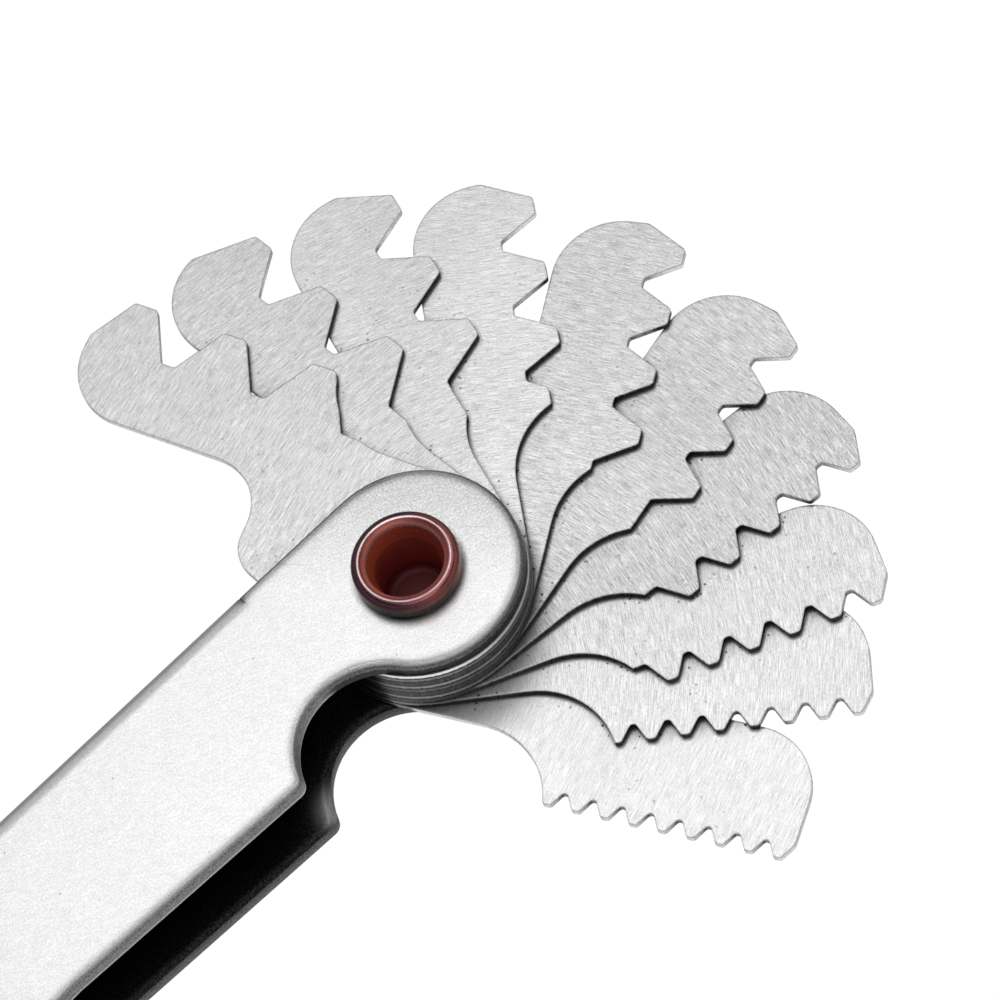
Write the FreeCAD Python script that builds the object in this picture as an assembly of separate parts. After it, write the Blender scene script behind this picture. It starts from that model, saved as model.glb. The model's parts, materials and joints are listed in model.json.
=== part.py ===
import FreeCAD, Part
import math
import os

from FreeCAD import Vector

# A metric 60 degree thread pitch gauge: two fans of toothed leaves, one riveted in each end of a
# folded sheet handle. The origin is on the coarse rivet's axis, at the underside of its head.
# +Z is square to the leaves, +X runs along the handle towards the coarse end, and the handle's
# folded spine is on the +Y side, so its open side faces -Y. Millimetres and degrees.

# Handle: one folded sheet
PIVOT_SPACING = 62.0
SHEET = 1.15
PLATE_GAP = 4.55
SPINE_Y = 6.8
BEND_OUTER_RADIUS = 1.3
SPINE_START = 8.2
EDGE_ROUNDING = 0.32

# Each plate's outline: end radius, distance of the open edge from the axis at the cut-out and at
# mid-handle, and the thumb cut-out's centre and radius measured from the nearer rivet
TOP_PLATE = {
    "end_radius": 6.4,
    "edge_near": 5.42,
    "edge_mid": 4.57,
    "cut_x": 9.0,
    "cut_y": 6.6,
    "cut_radius": 4.82,
}
BOTTOM_PLATE = {
    "end_radius": 6.15,
    "edge_near": 5.98,
    "edge_mid": 5.14,
    "cut_x": 8.35,
    "cut_y": 7.0,
    "cut_radius": 4.74,
}
CUT_CORNER_ROUNDING = 0.8

# Rivets: semi-tubular, rolled over above the top plate. The coarse one was set a little off its
# own axis, so its rim and its hollow are shifted together.
HEAD_HEIGHT = 0.8
HEAD_RADIUS = 3.4
HEAD_EDGE = 0.35
SHANK_RADIUS = 2.6
RIM_HEIGHT = 1.35
RIM_RADIUS = 3.22
RIM_SEAT_RADIUS = 3.18
RIM_RIDGE_RADIUS = 2.74
LIP_RADIUS = 2.4
LIP_DROP = 0.12
HOLLOW_RADIUS = 2.0
HOLLOW_DEPTH = 5.0
HOLLOW_CORNER = 0.45
COARSE_RIM_SHIFT = Vector(-0.33, 0.17, 0)

# Leaf blank, in the leaf's own frame: the rivet axis is the origin, u runs along the tooth row
# towards the tip, and the teeth are on the -v side
EYE_RADIUS = 6.47
HOLE_RADIUS = SHANK_RADIUS + 0.05
CREST_V = -10.45
NECK_V = -6.47
NECK_U = 5.4
NECK_RADIUS = 5.05
TIP_RADIUS = 4.0
TIP_CORNER_ROUNDING = 0.8
BACK_V = -2.82
HEEL_U = 11.1
BACK_FILLET = 3.5
HEEL_RADIUS = 2.31
HEEL_CENTRE = (8.8, 1.12)
LEAF_CLEARANCE = 0.012

# Thread form, as fractions of the pitch
FLANK_ANGLE = 30.0
CREST_FLAT = 0.25
TOOTH_DEPTH = 0.52
RELIEF_DEPTH = 0.61
BLUNTED_FLAT = 0.05
BLUNTED_DEPTH = 0.255
CORNER_ROUNDING = 0.125
LARGEST_ROUNDING = 0.26
ROUNDED_FROM_PITCH = 1.75

# Coarse leaves, top to bottom: pitch, direction of the tooth row at rest, how far the blank
# reaches along the row, and where along the row the tip tooth's crest ends
COARSE_LEAVES = [
    (6.0, 111.2, 25.65, 24.0),
    (5.5, 93.4, 25.65, 23.63),
    (5.0, 74.3, 25.65, 23.93),
    (4.5, 55.7, 25.6, 23.9),
    (4.0, 33.5, 25.45, 24.0),
    (3.5, 12.7, 25.4, 24.1),
    (3.0, -6.0, 25.25, 24.17),
    (2.5, -25.5, 25.4, 24.5),
    (2.0, -40.6, 25.4, 24.7),
    (1.75, -61.9, 25.4, 24.82),
]

# Fine leaves, top to bottom, all folded away at rest
FINE_PITCHES = [1.5, 1.25, 1.0, 0.9, 0.8, 0.75, 0.7, 0.6, 0.5, 0.45, 0.4, 0.35, 0.3, 0.25]
FINE_TIP_U = 25.4
FINE_TIP_EDGE = 24.9
FOLDED_ANGLE = -156.0

BOTTOM_PLATE_Z = HEAD_HEIGHT
GAP_Z = BOTTOM_PLATE_Z + SHEET
TOP_PLATE_Z = GAP_Z + PLATE_GAP
HANDLE_TOP_Z = TOP_PLATE_Z + SHEET
UP = Vector(0, 0, 1)


def rounded_wire(corners):
    """A closed wire through (x, y, radius) corners, each rounded by its own tangent arc."""
    starts = []
    edges = []
    count = len(corners)
    for index in range(count):
        x, y, radius = corners[index]
        corner = Vector(x, y, 0)
        before = Vector(*corners[index - 1][:2], 0) - corner
        after = Vector(*corners[(index + 1) % count][:2], 0) - corner
        before.normalize()
        after.normalize()
        if radius == 0:
            starts.append((corner, corner))
            continue
        half_angle = before.getAngle(after) / 2
        reach = radius / math.tan(half_angle)
        bisector = (before + after).normalize()
        middle = corner + bisector * (radius / math.sin(half_angle) - radius)
        enter = corner + before * reach
        leave = corner + after * reach
        starts.append((enter, leave))
        edges.append((index, Part.Arc(enter, middle, leave).toShape()))
    ordered = []
    arcs = dict(edges)
    for index in range(count):
        if index in arcs:
            ordered.append(arcs[index])
        leave = starts[index][1]
        enter = starts[(index + 1) % count][0]
        if leave.distanceToPoint(enter) > 1e-6:
            ordered.append(Part.LineSegment(leave, enter).toShape())
    return Part.Wire(ordered)


def disc(radius, x=0.0, y=0.0):
    return Part.Face(Part.Wire(Part.makeCircle(radius, Vector(x, y, 0))))


def tangent_on_eye():
    """Where the line touching both the heel and the eye leaves the eye."""
    heel_u, heel_v = HEEL_CENTRE
    distance = math.hypot(heel_u, heel_v)
    lean = math.asin((EYE_RADIUS - HEEL_RADIUS) / distance)
    angle = math.atan2(heel_v, heel_u) + math.pi / 2 - lean
    return EYE_RADIUS * math.cos(angle), EYE_RADIUS * math.sin(angle), angle


def leaf_blank(tip_u):
    """The leaf before its teeth are ground: a round eye and a blade that hangs to one side."""
    eye_u, eye_v, angle = tangent_on_eye()
    heel_v = eye_v - (HEEL_U - eye_u) / math.tan(angle)
    beyond_crest = CREST_V - 1.5
    blade = rounded_wire([
        (0, 0, 0),
        (0, NECK_V, 0),
        (NECK_U + NECK_RADIUS, NECK_V, NECK_RADIUS),
        (NECK_U + NECK_RADIUS, beyond_crest, 0),
        (tip_u, beyond_crest, 0),
        (tip_u, BACK_V, TIP_RADIUS),
        (HEEL_U, BACK_V, BACK_FILLET),
        (HEEL_U, heel_v, HEEL_RADIUS),
        (eye_u, eye_v, 0),
    ])
    return disc(EYE_RADIUS).fuse(Part.Face(blade)).removeSplitter()


def tooth_comb(pitch, tip_edge):
    """Everything beyond the crest line, with a tooth-shaped finger for each thread groove."""
    rounding = 0
    if pitch >= ROUNDED_FROM_PITCH:
        rounding = min(CORNER_ROUNDING * pitch, LARGEST_ROUNDING)
    slope = math.tan(math.radians(FLANK_ANGLE))
    depth = TOOTH_DEPTH * pitch
    mouth_half = (1 - CREST_FLAT) * pitch / 2
    root_half = mouth_half - depth * slope
    crest_start = NECK_U + math.sqrt(NECK_RADIUS**2 - (CREST_V - NECK_V + NECK_RADIUS)**2)
    outside = CREST_V - 3
    beyond_tip = tip_edge + TIP_RADIUS
    corners = [
        (beyond_tip, outside, 0),
        (beyond_tip, CREST_V + TIP_RADIUS, 0),
        (tip_edge + TIP_RADIUS * slope, CREST_V + TIP_RADIUS, 0),
        (tip_edge, CREST_V, rounding),
    ]
    groove = tip_edge - CREST_FLAT * pitch - mouth_half
    corners.append((groove + mouth_half, CREST_V, rounding))
    while groove - mouth_half >= crest_start:
        corners.append((groove + root_half, CREST_V + depth, rounding))
        corners.append((groove - root_half, CREST_V + depth, rounding))
        corners.append((groove - mouth_half, CREST_V, rounding))
        groove -= pitch
        corners.append((groove + mouth_half, CREST_V, rounding))
    last_flat = corners[-2][0] - crest_start
    last_depth = RELIEF_DEPTH * pitch
    last_edge = groove + mouth_half - last_depth * slope
    if last_flat < BLUNTED_FLAT * pitch:
        last_depth = BLUNTED_DEPTH * pitch
        last_edge = corners[-2][0] + last_depth * slope
        corners = corners[:-2]
    corners.append((last_edge, CREST_V + last_depth, rounding))
    corners.append((NECK_U - pitch, CREST_V + last_depth, 0))
    corners.append((NECK_U - pitch, outside, 0))
    return Part.Face(rounded_wire(corners))


def leaf(pitch, tip_u, tip_edge, thickness):
    """One leaf in its own frame, standing on the plane z = 0."""
    outline = leaf_blank(tip_u).cut(tooth_comb(pitch, tip_edge)).cut(disc(HOLE_RADIUS))
    faces = sorted(outline.Faces, key=lambda face: face.Area)
    solid = faces[-1].extrude(UP * thickness)
    flank_top = CREST_V + (tip_u - tip_edge) / math.tan(math.radians(FLANK_ANGLE))

    def at_tip_corner(u, v):
        return math.hypot(u - tip_u, v - flank_top) < 1e-4

    return solid.makeFillet(TIP_CORNER_ROUNDING, upright_edges(solid, at_tip_corner))


def mirrored(shape):
    """The same shape at the other end of the handle."""
    return shape.mirror(Vector(-PIVOT_SPACING / 2, 0, 0), Vector(1, 0, 0))


def stack_levels(count):
    """Leaf thickness, and each leaf's underside from the top plate down."""
    thickness = (PLATE_GAP - (count + 1) * LEAF_CLEARANCE) / count
    levels = []
    for index in range(count):
        levels.append(TOP_PLATE_Z - (index + 1) * (thickness + LEAF_CLEARANCE))
    return thickness, levels


def plate_half(shape_of):
    """A plate's outline from the coarse end to mid-handle, with its thumb cut-out."""
    middle = -PIVOT_SPACING / 2
    end_radius = shape_of["end_radius"]
    cut_x = shape_of["cut_x"]
    cut_y = shape_of["cut_y"]
    to_cut = end_radius / math.hypot(cut_x, cut_y)
    body = Part.Face(Part.makePolygon([
        Vector(0, end_radius, 0),
        Vector(-cut_x * to_cut, -cut_y * to_cut, 0),
        Vector(-cut_x, -shape_of["edge_near"], 0),
        Vector(middle, -shape_of["edge_mid"], 0),
        Vector(middle, end_radius, 0),
        Vector(0, end_radius, 0),
    ]))
    cut_out = disc(shape_of["cut_radius"], -cut_x, -cut_y)
    return disc(end_radius).fuse(body).cut(cut_out)


def upright_edges(solid, test):
    """The solid's vertical edges whose place (x, y) passes the test."""
    found = []
    for edge in solid.Edges:
        box = edge.BoundBox
        if box.ZLength > 0.1 and box.XLength + box.YLength < 1e-6 and test(box.XMin, box.YMin):
            found.append(edge)
    return found


def plate(shape_of, low_z):
    """One flat plate with both cut-outs and rivet holes, before the fold is added."""
    bend_line = SPINE_Y - BEND_OUTER_RADIUS
    strip_length = PIVOT_SPACING / 2 - SPINE_START
    strip = Part.makePlane(strip_length, 5, Vector(-PIVOT_SPACING / 2, bend_line, 0))
    outline = plate_half(shape_of).cut(disc(SHANK_RADIUS)).cut(strip)
    half = outline.extrude(UP * SHEET)
    solid = half.fuse(mirrored(half)).removeSplitter().Solids[0]

    def at_cut_corner(x, y):
        near = min(-x, x + PIVOT_SPACING)
        return near > shape_of["cut_x"] and y < -shape_of["edge_mid"] - 0.2

    corners = upright_edges(solid, at_cut_corner)
    solid = solid.makeFillet(CUT_CORNER_ROUNDING, corners)
    solid.translate(UP * low_z)
    return solid


def rim_edges(solid, z):
    """The outline's edges on one face of a plate, without the rivet holes and the bend line."""
    bend_line = SPINE_Y - BEND_OUTER_RADIUS
    chosen = []
    for edge in solid.Edges:
        box = edge.BoundBox
        if box.ZLength > 1e-6 or abs(box.ZMin - z) > 1e-6:
            continue
        on_hole = isinstance(edge.Curve, Part.Circle) and abs(edge.Curve.Radius - SHANK_RADIUS) < 1e-6
        on_bend = box.YLength < 1e-6 and abs(box.YMin - bend_line) < 1e-6
        beside_bend = box.XLength < 1e-6 and box.YMax > bend_line
        if not (on_hole or on_bend or beside_bend):
            chosen.append(edge)
    return chosen


def spine():
    """The fold: a quarter bend, a wall and a quarter bend, drawn in YZ and run along X."""
    inner = BEND_OUTER_RADIUS - SHEET
    bend_y = SPINE_Y - BEND_OUTER_RADIUS
    low = BOTTOM_PLATE_Z
    high = HANDLE_TOP_Z
    diagonal = math.sqrt(0.5)

    def point(y, z):
        return Vector(-PIVOT_SPACING + SPINE_START, y, z)

    def bend(radius, centre_z, side):
        start = point(bend_y, centre_z + side * radius)
        middle = point(bend_y + radius * diagonal, centre_z + side * radius * diagonal)
        end = point(bend_y + radius, centre_z)
        return Part.Arc(start, middle, end).toShape()

    low_centre = low + BEND_OUTER_RADIUS
    high_centre = high - BEND_OUTER_RADIUS
    outer_y = bend_y + BEND_OUTER_RADIUS
    inner_y = bend_y + inner
    profile = Part.Wire([
        bend(BEND_OUTER_RADIUS, high_centre, 1),
        Part.LineSegment(point(outer_y, high_centre), point(outer_y, low_centre)).toShape(),
        bend(BEND_OUTER_RADIUS, low_centre, -1),
        Part.LineSegment(point(bend_y, low), point(bend_y, low + SHEET)).toShape(),
        bend(inner, low_centre, -1),
        Part.LineSegment(point(inner_y, low_centre), point(inner_y, high_centre)).toShape(),
        bend(inner, high_centre, 1),
        Part.LineSegment(point(bend_y, high - SHEET), point(bend_y, high)).toShape(),
    ])
    return Part.Face(profile).extrude(Vector(PIVOT_SPACING - 2 * SPINE_START, 0, 0))


def handle():
    """The folded sheet: two plates and the spine that joins them."""
    top = plate(TOP_PLATE, TOP_PLATE_Z)
    top = top.makeFillet(EDGE_ROUNDING, rim_edges(top, HANDLE_TOP_Z))
    bottom = plate(BOTTOM_PLATE, BOTTOM_PLATE_Z)
    bottom = bottom.makeFillet(EDGE_ROUNDING, rim_edges(bottom, BOTTOM_PLATE_Z))
    return top.fuse([bottom, spine()]).removeSplitter()


def rivet(shift):
    """A semi-tubular rivet: low head and shank, with the rolled rim and blind hollow shifted."""
    seat = HANDLE_TOP_Z
    ridge = seat + RIM_HEIGHT
    lip = ridge - LIP_DROP
    floor = ridge - HOLLOW_DEPTH
    bevel = 1 - math.sqrt(0.5)

    def point(radius, z):
        return Vector(radius, 0, z)

    def line(start, end):
        return Part.LineSegment(point(*start), point(*end)).toShape()

    def arc(start, middle, end):
        return Part.Arc(point(*start), point(*middle), point(*end)).toShape()

    def turned(edges):
        return Part.Face(Part.Wire(edges)).revolve(Vector(0, 0, 0), UP, 360)

    head_side = HEAD_RADIUS - HEAD_EDGE
    body = turned([
        line((0, 0), (head_side, 0)),
        arc((head_side, 0), (HEAD_RADIUS - bevel * HEAD_EDGE, bevel * HEAD_EDGE), (HEAD_RADIUS, HEAD_EDGE)),
        line((HEAD_RADIUS, HEAD_EDGE), (HEAD_RADIUS, HEAD_HEIGHT)),
        line((HEAD_RADIUS, HEAD_HEIGHT), (SHANK_RADIUS, HEAD_HEIGHT)),
        line((SHANK_RADIUS, HEAD_HEIGHT), (SHANK_RADIUS, seat + LIP_DROP)),
        line((SHANK_RADIUS, seat + LIP_DROP), (0, seat + LIP_DROP)),
        line((0, seat + LIP_DROP), (0, 0)),
    ])
    shoulder = seat + RIM_HEIGHT * 0.72
    rim = turned([
        line((0, seat), (RIM_SEAT_RADIUS, seat)),
        arc((RIM_SEAT_RADIUS, seat), (RIM_RADIUS, seat + RIM_HEIGHT * 0.4), (RIM_RADIUS - 0.02, shoulder)),
        arc((RIM_RADIUS - 0.02, shoulder), (RIM_RADIUS - 0.14, ridge - 0.12), (RIM_RIDGE_RADIUS, ridge)),
        line((RIM_RIDGE_RADIUS, ridge), (0, ridge)),
        line((0, ridge), (0, seat)),
    ])
    hollow = turned([
        line((0, floor), (HOLLOW_RADIUS - HOLLOW_CORNER, floor)),
        arc((HOLLOW_RADIUS - HOLLOW_CORNER, floor),
            (HOLLOW_RADIUS - bevel * HOLLOW_CORNER, floor + bevel * HOLLOW_CORNER),
            (HOLLOW_RADIUS, floor + HOLLOW_CORNER)),
        line((HOLLOW_RADIUS, floor + HOLLOW_CORNER), (HOLLOW_RADIUS, seat)),
        line((HOLLOW_RADIUS, seat), (LIP_RADIUS, lip)),
        line((LIP_RADIUS, lip), (RIM_RIDGE_RADIUS, ridge)),
        line((RIM_RIDGE_RADIUS, ridge), (RIM_RIDGE_RADIUS, ridge + 1)),
        line((RIM_RIDGE_RADIUS, ridge + 1), (0, ridge + 1)),
        line((0, ridge + 1), (0, floor)),
    ])
    rim.translate(shift)
    hollow.translate(shift)
    return body.fuse(rim).removeSplitter().cut(hollow)


def pitch_name(pitch):
    return f"{pitch:.2f}".replace(".", "_")


def save(name, shape):
    solid = shape.Solids[0]
    assert len(shape.Solids) == 1 and solid.isValid(), name
    solid.exportStep(f"parts/{name}.step")
    print(f"{name:24s} volume {solid.Volume:9.3f} faces {len(solid.Faces)}")


os.makedirs("parts", exist_ok=True)
save("handle_channel", handle())
save("coarse_rivet", rivet(COARSE_RIM_SHIFT))
save("fine_rivet", mirrored(rivet(Vector(0, 0, 0))))

coarse_thickness, coarse_levels = stack_levels(len(COARSE_LEAVES))
for (pitch, angle, tip_u, tip_edge), level in zip(COARSE_LEAVES, coarse_levels):
    blade = leaf(pitch, tip_u, tip_edge, coarse_thickness)
    blade.rotate(Vector(0, 0, 0), UP, angle)
    blade.translate(UP * level)
    save("coarse_leaf_" + pitch_name(pitch), blade)

fine_thickness, fine_levels = stack_levels(len(FINE_PITCHES))
for pitch, level in zip(FINE_PITCHES, fine_levels):
    blade = leaf(pitch, FINE_TIP_U, FINE_TIP_EDGE, fine_thickness)
    blade.rotate(Vector(0, 0, 0), UP, FOLDED_ANGLE)
    blade.translate(UP * level)
    save("fine_leaf_" + pitch_name(pitch), mirrored(blade))
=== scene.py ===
import json
import math

import bpy
from mathutils import Matrix, Vector


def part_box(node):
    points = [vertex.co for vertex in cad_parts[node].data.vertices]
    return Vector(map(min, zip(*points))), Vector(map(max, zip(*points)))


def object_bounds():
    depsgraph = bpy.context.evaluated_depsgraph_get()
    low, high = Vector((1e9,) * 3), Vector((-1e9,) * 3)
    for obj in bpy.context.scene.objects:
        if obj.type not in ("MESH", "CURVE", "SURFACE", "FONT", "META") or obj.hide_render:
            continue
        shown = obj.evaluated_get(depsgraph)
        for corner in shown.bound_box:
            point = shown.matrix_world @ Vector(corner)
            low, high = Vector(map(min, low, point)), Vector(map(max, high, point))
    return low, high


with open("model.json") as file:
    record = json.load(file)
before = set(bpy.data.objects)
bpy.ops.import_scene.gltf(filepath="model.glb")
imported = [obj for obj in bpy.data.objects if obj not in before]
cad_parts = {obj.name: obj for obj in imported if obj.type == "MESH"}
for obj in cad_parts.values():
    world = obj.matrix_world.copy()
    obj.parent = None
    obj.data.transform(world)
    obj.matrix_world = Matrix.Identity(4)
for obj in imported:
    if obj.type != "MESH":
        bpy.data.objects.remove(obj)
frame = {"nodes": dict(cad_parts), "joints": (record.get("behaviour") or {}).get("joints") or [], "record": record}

CAD_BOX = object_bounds()
MM = 0.001
NODES = frame["nodes"]
LEAVES = sorted(name for name in NODES if "_leaf_" in name)
JOINTS = {joint["child"]: joint for joint in frame["joints"]}
MOUNTS = {mount["name"]: mount for mount in frame["record"]["mounts"]}
TOP_LEAF = "coarse_leaf_6_00"
BOTTOM_LEAF = "coarse_leaf_1_75"

# Places and sizes on the CAD model, in millimetres
LEAF_CLEARANCE = 0.012
LEAF_EYE_RADIUS = 6.47
LOWER_PLATE_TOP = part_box(BOTTOM_LEAF)[0].z / MM - LEAF_CLEARANCE
UPPER_PLATE_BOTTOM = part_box(TOP_LEAF)[1].z / MM + LEAF_CLEARANCE
SPINE_BACK_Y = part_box("handle_channel")[1].y / MM - 0.5
CHANNEL_BACK_Y = 5.0
HALF_SPACING = (JOINTS[TOP_LEAF]["pos_m"][0] - JOINTS["fine_leaf_1_50"]["pos_m"][0]) / 2 / MM
SPINE_END = HALF_SPACING - 9.5  # from the handle's middle, where the spine gives way to open ends
THUMB_CORNER = (-12.3, -5.0, LOWER_PLATE_TOP)
RIM_RIDGE_RADIUS = 2.72
RIM_LIP_RADIUS = 2.36
HOLLOW_START_RADIUS = 2.66
HOLLOW_FLOOR_DEPTH = 4.9

# Colours
WHITE_METAL = (1.0, 1.0, 0.997, 1.0)
OXIDE = (0.078, 0.040, 0.046, 1.0)
OXIDE_PAINTED_LIGHT = (0.27, 0.095, 0.085, 1.0)
OXIDE_BLOTCH = (0.14, 0.05, 0.06, 1.0)
PAINTED_SHADE_BLACK = (0.008, 0.003, 0.003, 1.0)
MOUTH_DARK = (0.21, 0.028, 0.022, 1.0)
MOUTH_PALE = (0.29, 0.050, 0.034, 1.0)
MOUTH_PAINTED_LIGHT = (0.42, 0.078, 0.036, 1.0)
WALL_RED = (0.36, 0.045, 0.038, 1.0)
WALL_FOOT = (0.12, 0.016, 0.018, 1.0)
WEAR_AND_HIGHLIGHT_PINK = (0.92, 0.66, 0.70, 1.0)


def grey(value):
    return (value, value, value, 1.0)


# ---------------------------------------------------------------- node helpers
class Nodes:
    """A node tree, with short calls for the few node types used here."""

    def __init__(self, tree):
        self.tree = tree
        coords = tree.nodes.new("ShaderNodeTexCoord")
        self.place = coords.outputs["Object"]
        self.normal = coords.outputs["Normal"]
        self.direction = coords.outputs["Generated"]

    def put(self, socket, value):
        """Links the value to the socket if it is another node's output, or else sets it."""
        if isinstance(value, bpy.types.NodeSocket):
            self.tree.links.new(value, socket)
        else:
            socket.default_value = value

    def math(self, kind, first, second=0.0, clamp=False):
        node = self.tree.nodes.new("ShaderNodeMath")
        node.operation = kind
        node.use_clamp = clamp
        self.put(node.inputs[0], first)
        self.put(node.inputs[1], second)
        return node.outputs[0]

    def add(self, first, second, clamp=False):
        return self.math("ADD", first, second, clamp)

    def subtract(self, first, second):
        return self.math("SUBTRACT", first, second)

    def times(self, first, second):
        return self.math("MULTIPLY", first, second)

    def size_of(self, value):
        return self.math("ABSOLUTE", value)

    def vector(self, kind, first, second=(0.0, 0.0, 0.0)):
        node = self.tree.nodes.new("ShaderNodeVectorMath")
        node.operation = kind
        self.put(node.inputs[0], first)
        self.put(node.inputs[1], second)
        return node.outputs["Value" if kind == "LENGTH" else "Vector"]

    def split(self, vector):
        node = self.tree.nodes.new("ShaderNodeSeparateXYZ")
        self.put(node.inputs[0], vector)
        return node.outputs

    def mapped(self, scale, angle=0.0, offset=(0.0, 0.0, 0.0)):
        """Object coordinates turned about Z, then stretched: scale is in cells per millimetre."""
        turn = self.tree.nodes.new("ShaderNodeVectorRotate")
        turn.rotation_type = "Z_AXIS"
        self.put(turn.inputs["Vector"], self.place)
        self.put(turn.inputs["Angle"], angle)
        moved = self.vector("ADD", turn.outputs[0], [value * MM for value in offset])
        return self.vector("MULTIPLY", moved, [value / MM for value in scale])

    def noise(self, place, detail, roughness):
        node = self.tree.nodes.new("ShaderNodeTexNoise")
        self.put(node.inputs["Vector"], place)
        self.put(node.inputs["Scale"], 1.0)
        self.put(node.inputs["Detail"], detail)
        self.put(node.inputs["Roughness"], roughness)
        return node.outputs[0]

    def cells(self, place):
        """The distance to the nearest of a scatter of points."""
        node = self.tree.nodes.new("ShaderNodeTexVoronoi")
        self.put(node.inputs["Vector"], place)
        self.put(node.inputs["Scale"], 1.0)
        return node.outputs["Distance"]

    def ramp(self, value, low, high, start=0.0, end=1.0, smooth=True):
        """Goes from start at low to end at high, and low may be above high."""
        node = self.tree.nodes.new("ShaderNodeMapRange")
        node.interpolation_type = "SMOOTHSTEP" if smooth else "LINEAR"
        self.put(node.inputs["Value"], value)
        self.put(node.inputs["From Min"], low)
        self.put(node.inputs["From Max"], high)
        self.put(node.inputs["To Min"], start)
        self.put(node.inputs["To Max"], end)
        return node.outputs[0]

    def line(self, value, low, high, start=0.0, end=1.0):
        """A ramp with no easing at its ends."""
        return self.ramp(value, low, high, start, end, smooth=False)

    def mix(self, factor, first, second):
        """Mixes two colours. The mix node's colour sockets have no names of their own."""
        node = self.tree.nodes.new("ShaderNodeMix")
        node.data_type = "RGBA"
        for index, value in ((0, factor), (6, first), (7, second)):
            self.put(node.inputs[index], value)
        return node.outputs[2]

    def blend(self, factor, first, second):
        """Mixes two numbers."""
        keep = self.times(first, self.subtract(1.0, factor))
        return self.add(keep, self.times(second, factor))

    def darken(self, value, mask, amount):
        return self.times(value, self.subtract(1.0, self.times(mask, amount)))

    def bump(self, height, distance, strength, base):
        node = self.tree.nodes.new("ShaderNodeBump")
        self.put(node.inputs["Height"], height)
        self.put(node.inputs["Distance"], distance * MM)
        self.put(node.inputs["Strength"], strength)
        self.put(node.inputs["Normal"], base)
        return node.outputs[0]

    def soft_edges(self, radius):
        """The surface's normal as if its edges were rounded."""
        node = self.tree.nodes.new("ShaderNodeBevel")
        node.samples = 4
        self.put(node.inputs["Radius"], radius * MM)
        return node.outputs[0]

    def openness(self, reach):
        """1 where nothing stands within reach of the surface, less in a crevice."""
        node = self.tree.nodes.new("ShaderNodeAmbientOcclusion")
        node.samples = 4
        self.put(node.inputs["Distance"], reach * MM)
        return node.outputs["AO"]


class Shader(Nodes):
    """A metal material on one Principled BSDF."""

    def __init__(self, name):
        self.material = bpy.data.materials.new(name)
        self.material.use_nodes = True
        super().__init__(self.material.node_tree)
        self.surface = self.tree.nodes["Principled BSDF"]

    def in_mm(self, value):
        return self.times(value, 1.0 / MM)

    def from_axis(self, axis):
        """The place measured from an upright axis, and the distance from that axis in mm."""
        offset = self.vector("SUBTRACT", self.place, tuple(axis))
        flat = self.vector("MULTIPLY", offset, (1.0, 1.0, 0.0))
        return offset, self.in_mm(self.vector("LENGTH", flat))

    def steepness(self, flat, upright):
        """0 on level faces and 1 on edges, by how much the normal points up or down."""
        return self.ramp(self.size_of(self.split(self.normal)[2]), flat, upright)

    def finish(self, colour, roughness, normal, metallic=1.0):
        self.put(self.surface.inputs["Base Color"], colour)
        self.put(self.surface.inputs["Roughness"], roughness)
        self.put(self.surface.inputs["Normal"], normal)
        self.put(self.surface.inputs["Metallic"], metallic)
        return self.material


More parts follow.
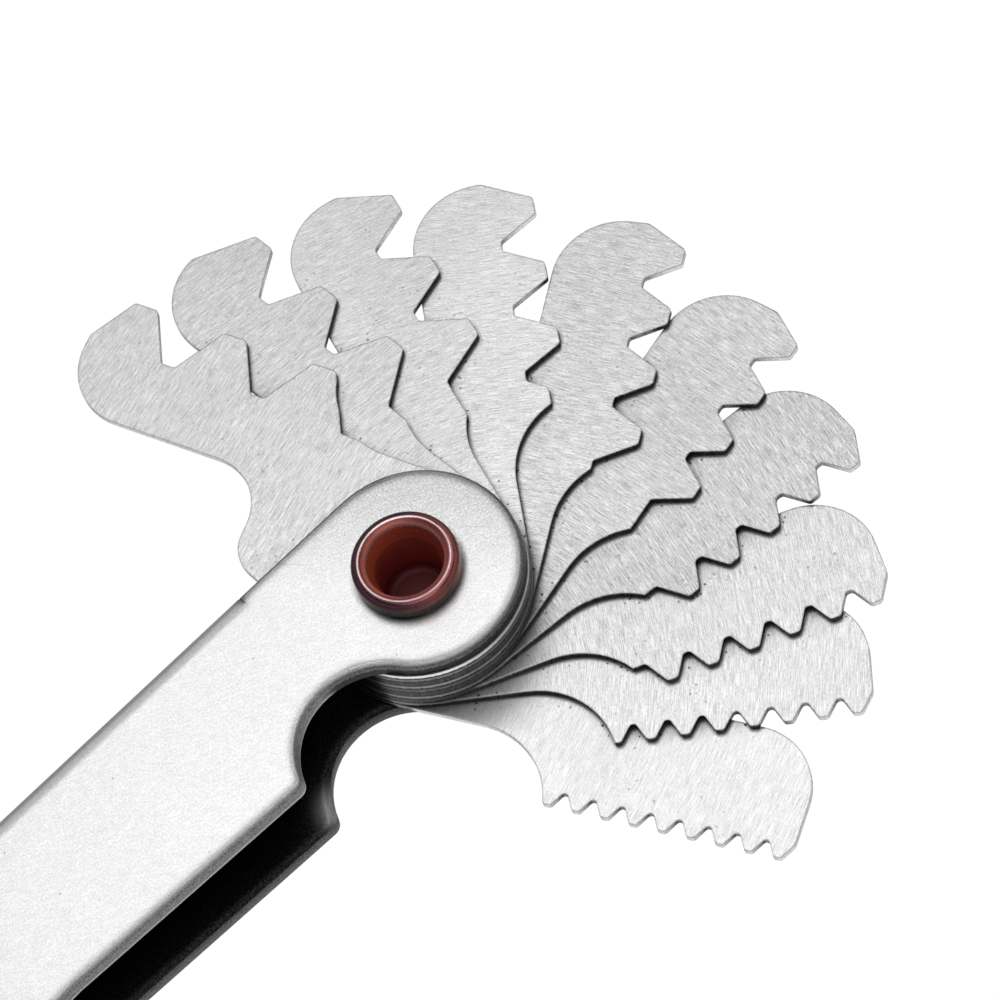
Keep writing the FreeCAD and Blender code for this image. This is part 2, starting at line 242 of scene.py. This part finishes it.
# ---------------------------------------------------------------- leaves
def leaf_steel(name, grain_angle, seed, brightness, shine, contrast, low_z, high_z, axis):
    """Ground spring steel: fine straight grain, and pits that gather beside the next leaf's edge, at
    whose foot painted shade lies too. The sheared edge is pale where it stands free, a painted
    reflection, dark over another leaf, painted shade, and banded round the rivet, where shine is
    the brightness of its upper band."""
    s = Shader(name)
    shift = (seed * 17.3, seed * 9.1, 0.0)
    clear = s.openness(1.6)

    # the ground face
    broad = s.noise(s.mapped((0.35, 3.0, 0.0), -grain_angle, shift), 2.0, 0.6)
    streak = s.noise(s.mapped((1.0, 18.0, 0.0), -grain_angle, shift), 1.0, 0.5)
    grit = s.noise(s.mapped((5.0, 18.0, 0.0), -grain_angle, shift), 1.0, 0.6)
    grain = s.add(s.times(streak, 0.50), s.times(grit, 0.38))
    grain = s.add(grain, s.times(broad, 0.12))
    darkest = brightness * (1.0 - 0.27 * contrast)
    palest = brightness * (1.0 + 0.26 * contrast)
    tone = s.line(grain, 0.38, 0.62, darkest, palest)
    cloud = s.noise(s.mapped((0.10, 0.10, 0.0), 0.0, shift), 2.0, 0.5)
    tone = s.times(tone, s.ramp(cloud, 0.3, 0.7, 0.96, 1.03))
    dash = s.noise(s.mapped((0.35, 7.0, 0.0), -grain_angle - 0.25, shift), 1.0, 0.4)
    tone = s.darken(tone, s.ramp(dash, 0.68, 0.78), 0.16)

    # pits, in a few patches and along the next leaf's edge
    patches = s.ramp(s.noise(s.mapped((0.30, 0.30, 0.0), 0.0, shift), 2.0, 0.5), 0.52, 0.66)
    beside_edge = s.ramp(clear, 0.985, 0.90, 0.0, 0.8)
    patches = s.add(s.times(patches, 0.35), beside_edge, clamp=True)
    warp = s.noise(s.mapped((3.0, 3.0, 0.0), 0.0, shift), 2.0, 0.6)
    from_pit = s.cells(s.mapped((2.0, 2.0, 0.0), 0.3, shift))
    from_pit = s.add(from_pit, s.times(warp, 0.22))
    pit = s.times(s.ramp(from_pit, 0.30, 0.22), patches)
    tone = s.darken(tone, pit, 0.85)
    # painted shade in the crevice at the foot of the next leaf's edge
    tone = s.darken(tone, s.ramp(clear, 0.74, 0.60), 0.85)

    # the sheared edge: pale where it stands free, a painted reflection, and dark over another leaf, painted shade
    height_in_edge = s.line(s.split(s.place)[2], low_z, high_z)
    tear = s.noise(s.mapped((7.0, 7.0, 1.5), 0.0, shift), 2.0, 0.6)
    ragged = s.add(height_in_edge, s.times(s.subtract(tear, 0.5), 0.5))
    _, radius = s.from_axis(axis)
    eye = s.ramp(radius, LEAF_EYE_RADIUS + 0.12, LEAF_EYE_RADIUS + 0.04)
    torn = s.ramp(tear, 0.3, 0.7, 0.008, 0.05)
    band_low = 0.50 - 0.2 * shine
    band = s.times(s.ramp(ragged, band_low, band_low + 0.14), shine)
    pale = s.times(s.ramp(tear, 0.3, 0.7, 0.70, 0.95), s.ramp(ragged, 0.95, 0.80, 0.45, 1.0))
    shaded = s.times(s.ramp(ragged, 0.78, 0.92), 0.45)
    # painted reflection where the edge stands free, painted shade where it lies over another leaf
    edge_painted_light_and_shade = s.blend(s.ramp(clear, 0.86, 0.99), s.add(torn, shaded), pale)
    edge_tone = s.blend(eye, edge_painted_light_and_shade, s.add(torn, band))
    tone = s.blend(s.steepness(0.8, 0.3), tone, edge_tone)

    rough = s.add(s.ramp(grain, 0.35, 0.65, 0.40, 0.30), s.times(pit, 0.3))
    relief = s.subtract(grain, s.times(pit, 0.8))
    normal = s.bump(relief, 0.02, 0.5, s.soft_edges(0.14))
    return s.finish(s.mix(tone, grey(0.0), WHITE_METAL), rough, normal)


# ---------------------------------------------------------------- handle
def satin_nickel(name):
    """Nickel plate over a tumbled sheet: near white, pebbled, with specks and a few fine marks."""
    s = Shader(name)
    x, y, z = (s.in_mm(axis) for axis in s.split(s.place))
    pebble = s.noise(s.mapped((9.0, 9.0, 9.0)), 2.0, 0.6)
    fine = s.noise(s.mapped((14.0, 14.0, 14.0)), 1.0, 0.6)
    drag = s.noise(s.mapped((1.5, 9.0, 2.0), math.radians(25.0)), 2.0, 0.5)
    relief = s.add(s.times(pebble, 0.55), s.times(fine, 0.3))
    relief = s.add(relief, s.times(drag, 0.2))

    # the plated face, duller and more speckled toward the coarse end
    toward_end = s.add(s.times(x, 0.75), s.times(y, 0.66))
    coarse_end_weight = s.ramp(toward_end, -2.0, 6.0)
    tone = s.darken(s.line(relief, 0.44, 0.66, 0.705, 0.90), coarse_end_weight, 0.25)
    speckled = s.times(tone, s.line(pebble, 0.35, 0.65, 0.84, 1.15))
    tone = s.blend(s.times(coarse_end_weight, 0.8), tone, speckled)
    tone = s.times(tone, s.ramp(x, -32.0, -12.0, 0.95, 1.0))
    cloud = s.noise(s.mapped((0.09, 0.09, 0.09)), 2.0, 0.5)
    tone = s.times(tone, s.ramp(cloud, 0.3, 0.7, 0.97, 1.02))
    speck = s.ramp(s.cells(s.mapped((0.75, 0.75, 0.75))), 0.055, 0.02)
    tone = s.darken(tone, speck, 0.5)
    hair = s.noise(s.mapped((0.12, 4.5, 0.0), math.radians(50.0), (3.0, 7.0, 0.0)), 1.0, 0.3)
    tone = s.darken(tone, s.ramp(hair, 0.72, 0.80), 0.15)

    # painted shade on the rounded shoulder of each free edge, where a wide bevel turns the normal away from the
    # face's
    front = s.line(y, SPINE_BACK_Y, SPINE_BACK_Y - 0.1)
    end = s.ramp(s.size_of(s.add(x, HALF_SPACING)), SPINE_END, SPINE_END + 1.5)
    free = s.math("MAXIMUM", end, s.ramp(y, 5.2, 4.8))
    wide_bevel = s.soft_edges(0.9)
    true_normal = s.tree.nodes.new("ShaderNodeNewGeometry").outputs["True Normal"]
    products = s.split(s.vector("MULTIPLY", wide_bevel, true_normal))
    agree = s.add(s.add(products[0], products[1]), products[2])
    tone = s.darken(tone, s.times(s.ramp(agree, 0.993, 0.95), free), 0.90)

    # the sheared edges: dull, with a torn black band round the ends and a painted highlight along the upper
    # plate's lower corner
    sheared = s.times(s.steepness(0.9, 0.4), front)
    dull = s.ramp(pebble, 0.35, 0.65, 0.14, 0.34)
    dull = s.times(dull, s.line(z, LOWER_PLATE_TOP - 0.05, UPPER_PLATE_BOTTOM, 0.45, 1.0))
    dull = s.darken(dull, end, 0.35)
    ragged_z = s.add(z, s.times(s.subtract(pebble, 0.5), 0.5))
    torn = s.times(s.ramp(ragged_z, 7.18, 7.05), s.ramp(ragged_z, 6.3, 6.4))
    dull = s.darken(dull, s.times(torn, end), 0.93)
    from_corner = s.size_of(s.subtract(z, UPPER_PLATE_BOTTOM))
    corner_painted_highlight = s.times(s.ramp(from_corner, 0.30, 0.08), s.ramp(end, 1.0, 0.5, 0.0, 0.45))
    tone = s.blend(sheared, tone, s.add(dull, corner_painted_highlight))

    # painted shade round the foot of the rivet's rim, most of it on the handle's side
    rivet_foot_painted_shade = s.ramp(s.add(x, y), -0.5, -3.6, 0.3, 1.0)
    tone = s.darken(tone, s.times(s.ramp(s.openness(0.8), 0.72, 0.62), rivet_foot_painted_shade), 0.92)

    # inside the channel the plate is darkened near black with painted shade, and lit grey by painted light falling
    # in at the thumb cut-out
    above_lower = s.line(z, LOWER_PLATE_TOP - 0.02, LOWER_PLATE_TOP - 0.005)
    below_upper = s.line(z, UPPER_PLATE_BOTTOM + 0.02, UPPER_PLATE_BOTTOM + 0.005)
    inside = s.times(s.times(above_lower, below_upper), front)
    inner_wall = s.line(y, CHANNEL_BACK_Y, CHANNEL_BACK_Y + 0.3)
    inside = s.times(inside, s.math("MAXIMUM", s.subtract(1.0, sheared), inner_wall))
    thumb_corner = [value * MM for value in THUMB_CORNER]
    to_corner = s.vector("LENGTH", s.vector("SUBTRACT", s.place, thumb_corner))
    thumb_cutout_painted_light = s.ramp(to_corner, 2.6 * MM, 0.3 * MM)
    channel_painted_shade = s.ramp(pebble, 0.35, 0.65, 0.012, 0.06)
    channel_painted_shade = s.add(channel_painted_shade, s.times(s.times(thumb_cutout_painted_light, thumb_cutout_painted_light), 0.4))
    tone = s.blend(inside, tone, channel_painted_shade)

    rough = s.ramp(relief, 0.42, 0.68, 0.40, 0.33)
    pitted = s.subtract(relief, s.times(speck, 0.6))
    edges = s.vector("NORMALIZE", s.mix(free, s.soft_edges(0.25), wide_bevel))
    return s.finish(s.mix(tone, grey(0.0), WHITE_METAL), rough, s.bump(pitted, 0.02, 0.5, edges))


# ---------------------------------------------------------------- rivets
def dark_copper(name, axis, top):
    """Oxidised copper plate: maroon outside, pink with wear and a painted highlight on the ridge, red inside the
    hollow, with painted light on the faces turned away from the handle and the spine and painted shade low on the
    rim's outer wall.
    """
    s = Shader(name)
    offset, radius = s.from_axis(axis)
    depth = s.in_mm(s.subtract(top, s.split(offset)[2]))
    blotch = s.noise(s.mapped((0.9, 0.9, 0.9)), 3.0, 0.6)
    fine = s.noise(s.mapped((9.0, 9.0, 9.0)), 2.0, 0.5)
    turned = s.noise(s.mapped((1.5, 1.5, 6.0)), 2.0, 0.5)

    # the ridge of the rim and the lip inside it are bright with wear and a painted highlight
    off_ridge = s.size_of(s.subtract(radius, RIM_RIDGE_RADIUS))
    ridge = s.times(s.ramp(off_ridge, 0.09, 0.015), s.ramp(depth, 0.3, 0.1))
    off_lip = s.size_of(s.subtract(radius, RIM_LIP_RADIUS))
    lip = s.times(s.ramp(off_lip, 0.08, 0.02), s.ramp(depth, 0.6, 0.2))
    wear_and_highlight = s.add(ridge, s.times(lip, 0.32), clamp=True)
    wear_and_highlight = s.times(wear_and_highlight, s.ramp(blotch, 0.25, 0.6, 0.65, 1.0))

    # each is about 1 at the rim, toward the handle and toward the spine
    handle_side, spine_side, _ = s.split(s.vector("MULTIPLY", offset, (-0.31 / MM, 0.29 / MM, 0.0)))
    # painted light: faces turned away from the handle and the spine are lit, rosy on the rim's outer wall on that
    # side and orange on the mouth's wall across from it
    painted_light_axis = s.add(handle_side, spine_side)
    outer = s.mix(s.ramp(painted_light_axis, 0.2, -0.9), OXIDE, OXIDE_PAINTED_LIGHT)
    outer = s.mix(s.ramp(blotch, 0.4, 0.6, 0.0, 0.35), outer, OXIDE_BLOTCH)
    # painted shade: low on the rim's outer wall the colour goes near black, most on the handle's open side
    open_side = s.ramp(s.subtract(handle_side, spine_side), 0.3, 1.1, 0.4, 0.97)
    outer = s.mix(s.times(s.ramp(depth, 0.35, 0.85), open_side), outer, PAINTED_SHADE_BLACK)

    mouth = s.mix(turned, MOUTH_DARK, MOUTH_PALE)
    mouth = s.mix(s.ramp(painted_light_axis, -0.35, 0.9), mouth, MOUTH_PAINTED_LIGHT)
    wall = s.mix(s.ramp(depth, 0.6, 3.4), mouth, WALL_RED)
    wall = s.mix(s.ramp(depth, HOLLOW_FLOOR_DEPTH - 0.9, HOLLOW_FLOOR_DEPTH), wall, WALL_FOOT)
    hollow = s.ramp(radius, HOLLOW_START_RADIUS, HOLLOW_START_RADIUS - 0.16)
    colour = s.mix(wear_and_highlight, s.mix(hollow, outer, wall), WEAR_AND_HIGHLIGHT_PINK)
    rough = s.add(s.ramp(fine, 0.3, 0.7, 0.24, 0.29), s.ramp(depth, 0.6, 3.0, 0.0, 0.3))
    normal = s.bump(s.add(fine, s.times(blotch, 3.0)), 0.003, 0.25, s.soft_edges(0.08))
    return s.finish(colour, rough, normal, s.subtract(1.0, s.times(hollow, 0.7)))


# ---------------------------------------------------------------- materials on the pieces
# By pitch: each coarse leaf's own brightness, the brightness of its edge's band round the rivet,
# and how strong its grain is
LEAF_LOOK = {
    "6_00": (0.614, 1.00, 1.05),
    "5_50": (0.61, 0.20, 1.10),
    "5_00": (0.64, 0.04, 1.0),
    "4_50": (0.675, 0.28, 0.95),
    "4_00": (0.61, 0.10, 1.2),
    "3_50": (0.56, 0.03, 1.3),
    "3_00": (0.53, 0.24, 1.4),
    "2_50": (0.605, 0.05, 0.9),
    "2_00": (0.65, 0.22, 0.75),
    "1_75": (0.678, 0.26, 0.55),
}
FINE_LEAF_LOOK = (0.62, 0.3, 1.0)
# Every leaf folds to the same direction, 156 degrees round from the handle's own, so its joint's
# lower limit tells the direction of its tooth row at rest.
FOLDED = math.radians(-156.0)
# The grain runs nearly square to the tooth row.
GRAIN_TO_ROW = math.radians(83.0)


def upright_axis(place):
    """The foot, at z = 0, of the upright axis through a place."""
    return Vector((place[0], place[1], 0.0))


def assign(node_name, material):
    for slot in NODES[node_name].material_slots:
        slot.material = material


for seed, leaf_name in enumerate(LEAVES, start=1):
    joint = JOINTS[leaf_name]
    row_angle = FOLDED - math.radians(joint["range_deg"][0])
    if leaf_name.startswith("coarse"):
        look = LEAF_LOOK[leaf_name[-4:]]
        grain_angle = row_angle + GRAIN_TO_ROW
    else:
        # the fine end is the coarse end's mirror image
        look = FINE_LEAF_LOOK
        grain_angle = math.pi - row_angle - GRAIN_TO_ROW
    axis = upright_axis(joint["pos_m"])
    low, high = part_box(leaf_name)
    steel = leaf_steel("steel_" + leaf_name, grain_angle, seed, *look, low.z, high.z, axis)
    assign(leaf_name, steel)
assign("handle_channel", satin_nickel("satin_nickel"))
for rivet_name, material_name in (
    ("coarse_rivet", "dark_copper_near"),
    ("fine_rivet", "dark_copper_far"),
):
    hollow_axis = upright_axis(MOUNTS[rivet_name + "_bore"]["pos_m"])
    assign(rivet_name, dark_copper(material_name, hollow_axis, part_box(rivet_name)[1].z))


# ---------------------------------------------------------------- floor
FLOOR_HALF_SIDE = 3.0
FLOOR_BELOW_OBJECT = 0.0002
FLOOR_GLOW = 1.02


def emission(name, strength):
    material = bpy.data.materials.new(name)
    material.use_nodes = True
    tree = material.node_tree
    tree.nodes.clear()
    light = tree.nodes.new("ShaderNodeEmission")
    light.inputs["Strength"].default_value = strength
    out = tree.nodes.new("ShaderNodeOutputMaterial")
    tree.links.new(light.outputs[0], out.inputs["Surface"])
    return material


# The floor glows evenly, so it is white at every angle, and it neither takes nor casts a shadow.
corners = [
    (turn_x * FLOOR_HALF_SIDE, turn_y * FLOOR_HALF_SIDE, 0)
    for turn_x, turn_y in ((-1, -1), (1, -1), (1, 1), (-1, 1))
]
floor_mesh = bpy.data.meshes.new("floor")
floor_mesh.from_pydata(corners, [], [(0, 1, 2, 3)])
floor_mesh.materials.append(emission("floor_white", FLOOR_GLOW))
floor = bpy.data.objects.new("floor", floor_mesh)
floor.location.z = CAD_BOX[0][2] - FLOOR_BELOW_OBJECT
floor.visible_glossy = False
floor.visible_shadow = False
bpy.context.scene.collection.objects.link(floor)

# ---------------------------------------------------------------- room and lights
# A dim room round the softboxes: grey walls low down, a dark ceiling, and a pale bench below the
# horizon that is brightest on the near side
world = bpy.data.worlds.new("studio")
bpy.context.scene.world = world
world.use_nodes = True
sky = Nodes(world.node_tree)
rise = sky.split(sky.direction)[2]
ceiling = sky.ramp(rise, 0.4, 0.8, 0.004, 0.05)
walls = sky.times(sky.ramp(rise, 0.0, 0.12), sky.ramp(rise, 0.80, 0.60, 0.0, 0.60))
near_x, near_y, _ = sky.split(sky.vector("MULTIPLY", sky.direction, (-0.41, -0.91, 0.0)))
bench = sky.ramp(sky.add(near_x, near_y), -0.8, 0.4, 0.30, 0.78)
bench = sky.times(bench, sky.ramp(rise, 0.0, -0.25))
background = world.node_tree.nodes["Background"]
background.inputs["Color"].default_value = grey(1.0)
sky.put(background.inputs["Strength"], sky.add(sky.add(ceiling, bench), walls))


def area_light(name, place, size, power):
    """A rectangular softbox that points at the coarse rivet."""
    data = bpy.data.lights.new(name, "AREA")
    data.shape = "RECTANGLE"
    data.size, data.size_y = size
    data.energy = power
    light = bpy.data.objects.new(name, data)
    light.location = place
    light.rotation_euler = (-Vector(place)).to_track_quat("-Z", "Y").to_euler()
    bpy.context.scene.collection.objects.link(light)


area_light("softbox", (0.06, 0.10, 0.34), (0.30, 0.22), 0.345)
area_light("front_softbox", (-0.05, -0.10, 0.36), (0.26, 0.16), 0.25)

# ---------------------------------------------------------------- camera
LENS_MM = 263.3
SENSOR_MM = 36.0
NEAR_CLIP = 0.01
AIM = Vector((6.57, -0.06, 6.49)) * MM
DISTANCE = 0.4242
ELEVATION = math.radians(60.91)
AZIMUTH = math.radians(-114.02)
ROLL = math.radians(-21.97)

camera_data = bpy.data.cameras.new("camera")
camera_data.lens = LENS_MM
camera_data.sensor_width = SENSOR_MM
camera_data.clip_start = NEAR_CLIP
camera = bpy.data.objects.new("camera", camera_data)
bpy.context.scene.collection.objects.link(camera)
bpy.context.scene.camera = camera
# back points from the aim to the camera, and right and up are the picture's own
back = Vector((
    math.cos(ELEVATION) * math.cos(AZIMUTH),
    math.cos(ELEVATION) * math.sin(AZIMUTH),
    math.sin(ELEVATION),
))
sideways = Vector((-math.sin(AZIMUTH), math.cos(AZIMUTH), 0.0))
upright = back.cross(sideways)
right = sideways * math.cos(ROLL) + upright * math.sin(ROLL)
up = upright * math.cos(ROLL) - sideways * math.sin(ROLL)
pose = Matrix((right, up, back)).transposed().to_4x4()
pose.translation = AIM + back * DISTANCE
camera.matrix_world = pose
bpy.context.scene.view_settings.view_transform = "Standard"
